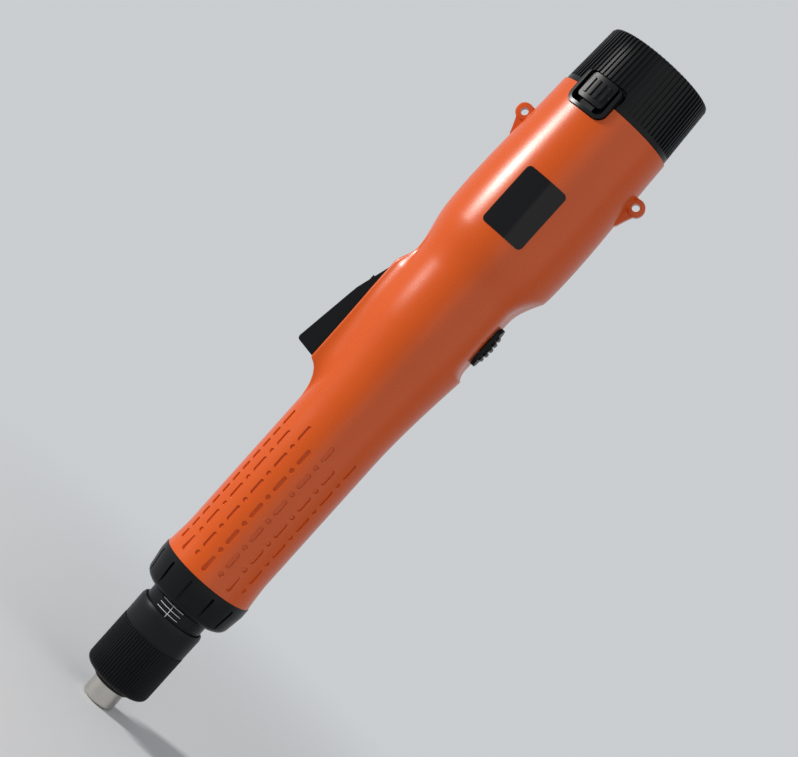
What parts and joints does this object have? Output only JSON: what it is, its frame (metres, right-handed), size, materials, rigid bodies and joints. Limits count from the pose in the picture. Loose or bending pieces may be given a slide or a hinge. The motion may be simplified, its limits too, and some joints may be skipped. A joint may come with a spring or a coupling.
{
  "type": "electric torque screwdriver",
  "caption": "Cordless in-line electric torque screwdriver with press lever, direction slide, knurled torque nut, quick-change chuck, hanging ears and latched battery pack.",
  "frame": {"origin": "on the tool's axis, at the level of the holes of the two hanging ears", "axes": "+Z along the tool's axis from the chuck to the battery, -X towards the lever, +X towards the direction switch, -Y towards the label plate"},
  "size_m": [0.0635, 0.0522, 0.3097],
  "materials": {
    "orange_plastic": "satin moulded plastic with a fine grain",
    "black_plastic": "satin black moulded plastic",
    "steel": "brushed steel",
    "magnet": "sintered",
    "bronze": "turned",
    "circuit_board": "solder mask",
    "cell_wrap": "shrink sleeve"
  },
  "bodies": {
    "housing": {"near_housing": "orange_plastic", "far_housing": "orange_plastic", "housing_screws": "steel", "label_plate": "black_plastic", "front_collar": "black_plastic", "scale_sleeve": "black_plastic", "output_bearing": "steel", "ring_gear": "steel", "gearbox_plate": "steel", "motor_can": "steel", "motor_magnets": "magnet", "motor_end_bell": "black_plastic", "motor_bushes": "bronze", "control_board": "circuit_board", "board_parts": "black_plastic", "lever_pin": "steel", "lever_spring": "steel", "lever_switch": "black_plastic", "direction_switch": "black_plastic", "contact_block": "black_plastic", "contact_leaves": "bronze"},
    "thrust_collar": {"thrust_collar": "black_plastic", "nose_bush": "bronze", "clutch_spring": "steel"},
    "torque_nut": {"torque_nut": "black_plastic"},
    "spindle": {"spindle": "steel", "sleeve_washer": "steel", "sleeve_spring": "steel", "bit_ball": "steel"},
    "chuck_sleeve": {"chuck_sleeve": "steel"},
    "clutch_plate": {"clutch_plate": "steel", "clutch_balls": "steel"},
    "drive_cam": {"drive_cam": "steel"},
    "output_planet_a": {"output_planet_a": "steel"},
    "output_planet_b": {"output_planet_b": "steel"},
    "output_planet_c": {"output_planet_c": "steel"},
    "idler_carrier": {"idler_carrier": "steel"},
    "input_planet_a": {"input_planet_a": "steel"},
    "input_planet_b": {"input_planet_b": "steel"},
    "input_planet_c": {"input_planet_c": "steel"},
    "motor_rotor": {"motor_rotor": "steel", "motor_pinion": "bronze"},
    "lever": {"lever": "black_plastic"},
    "switch_plunger": {"switch_plunger": "bronze"},
    "direction_slider": {"direction_slider": "black_plastic"},
    "battery": {"pack_case": "black_plastic", "pack_cap": "black_plastic", "latch_bezels": "black_plastic", "cells": "cell_wrap", "cell_spacers": "black_plastic", "pack_board": "circuit_board", "pack_terminals": "bronze", "latch_spring_a": "steel", "latch_spring_b": "steel"},
    "latch_button_a": {"latch_button_a": "black_plastic"},
    "latch_button_b": {"latch_button_b": "black_plastic"}
  },
  "joints": [
    {"name": "torque_turn", "type": "hinge", "parent": "thrust_collar", "child": "torque_nut", "pos_m": [0, 0, -0.24], "axis": [0, 0, 1], "range_deg": [-366, 870]},
    {"name": "torque_travel", "type": "slide", "parent": "housing", "child": "thrust_collar", "axis": [0, 0, 1], "range_m": [-0.002, 0.0048], "deforming": ["clutch_spring"]},
    {"name": "spindle_turn", "type": "hinge", "parent": "housing", "child": "spindle", "pos_m": [0, 0, -0.24], "axis": [0, 0, 1], "continuous": true},
    {"name": "chuck_slide", "type": "slide", "parent": "spindle", "child": "chuck_sleeve", "axis": [0, 0, 1], "range_m": [0, 0.0034], "stiffness_N_per_m": 900, "springref_m": -0.001, "deforming": ["sleeve_spring"]},
    {"name": "clutch_slip", "type": "slide", "parent": "spindle", "child": "clutch_plate", "axis": [0, 0, -1], "range_m": [0, 0.001], "stiffness_N_per_m": 2000, "springref_m": -0.001, "deforming": ["clutch_spring"]},
    {"name": "drive_turn", "type": "hinge", "parent": "housing", "child": "drive_cam", "pos_m": [0, 0, -0.212], "axis": [0, 0, 1], "continuous": true},
    {"name": "output_planet_a_turn", "type": "hinge", "parent": "drive_cam", "child": "output_planet_a", "pos_m": [0.0078, 0, -0.202], "axis": [0, 0, 1], "continuous": true},
    {"name": "output_planet_b_turn", "type": "hinge", "parent": "drive_cam", "child": "output_planet_b", "pos_m": [-0.0039, 0.00675, -0.202], "axis": [0, 0, 1], "continuous": true},
    {"name": "output_planet_c_turn", "type": "hinge", "parent": "drive_cam", "child": "output_planet_c", "pos_m": [-0.0039, -0.00675, -0.202], "axis": [0, 0, 1], "continuous": true},
    {"name": "idler_turn", "type": "hinge", "parent": "housing", "child": "idler_carrier", "pos_m": [0, 0, -0.197], "axis": [0, 0, 1], "continuous": true},
    {"name": "input_planet_a_turn", "type": "hinge", "parent": "idler_carrier", "child": "input_planet_a", "pos_m": [0.0078, 0, -0.192], "axis": [0, 0, 1], "continuous": true},
    {"name": "input_planet_b_turn", "type": "hinge", "parent": "idler_carrier", "child": "input_planet_b", "pos_m": [-0.0039, 0.00675, -0.192], "axis": [0, 0, 1], "continuous": true},
    {"name": "input_planet_c_turn", "type": "hinge", "parent": "idler_carrier", "child": "input_planet_c", "pos_m": [-0.0039, -0.00675, -0.192], "axis": [0, 0, 1], "continuous": true},
    {"name": "rotor_turn", "type": "hinge", "parent": "housing", "child": "motor_rotor", "pos_m": [0, 0, -0.17], "axis": [0, 0, 1], "continuous": true},
    {"name": "lever_press", "type": "hinge", "parent": "housing", "child": "lever", "pos_m": [-0.0208, 0, -0.0699], "axis": [0, -1, 0], "range_deg": [0, 5], "stiffness_Nm_per_rad": 0.6, "springref_deg": -5.73, "deforming": ["lever_spring"]},
    {"name": "switch_press", "type": "slide", "parent": "housing", "child": "switch_plunger", "axis": [1, 0, 0], "range_m": [0, 0.0016]},
    {"name": "direction_slide", "type": "slide", "parent": "housing", "child": "direction_slider", "axis": [0, 0, 1], "range_m": [-0.0025, 0.0025]},
    {"name": "battery_slide", "type": "slide", "parent": "housing", "child": "battery", "axis": [0, 0, 1], "range_m": [0, 0.065]},
    {"name": "latch_press_a", "type": "slide", "parent": "battery", "child": "latch_button_a", "axis": [0.3584, 0.9336, 0], "range_m": [0, 0.0013], "stiffness_N_per_m": 800, "springref_m": -0.001, "deforming": ["latch_spring_a"]},
    {"name": "latch_press_b", "type": "slide", "parent": "battery", "child": "latch_button_b", "axis": [-0.3584, -0.9336, 0], "range_m": [0, 0.0013], "stiffness_N_per_m": 800, "springref_m": -0.001, "deforming": ["latch_spring_b"]}
  ],
  "couplings": [
    {"joint": "torque_turn", "follows": "torque_travel", "rad_per_m": 3141.6},
    {"joint": "drive_turn", "follows": "spindle_turn", "ratio": 1},
    {"joint": "output_planet_a_turn", "follows": "spindle_turn", "ratio": -3},
    {"joint": "output_planet_b_turn", "follows": "spindle_turn", "ratio": -3},
    {"joint": "output_planet_c_turn", "follows": "spindle_turn", "ratio": -3},
    {"joint": "idler_turn", "follows": "spindle_turn", "ratio": 4},
    {"joint": "input_planet_a_turn", "follows": "spindle_turn", "ratio": -12},
    {"joint": "input_planet_b_turn", "follows": "spindle_turn", "ratio": -12},
    {"joint": "input_planet_c_turn", "follows": "spindle_turn", "ratio": -12},
    {"joint": "rotor_turn", "follows": "spindle_turn", "ratio": 16},
    {"joint": "switch_press", "follows": "lever_press", "m_per_rad": 0.0126}
  ]
}
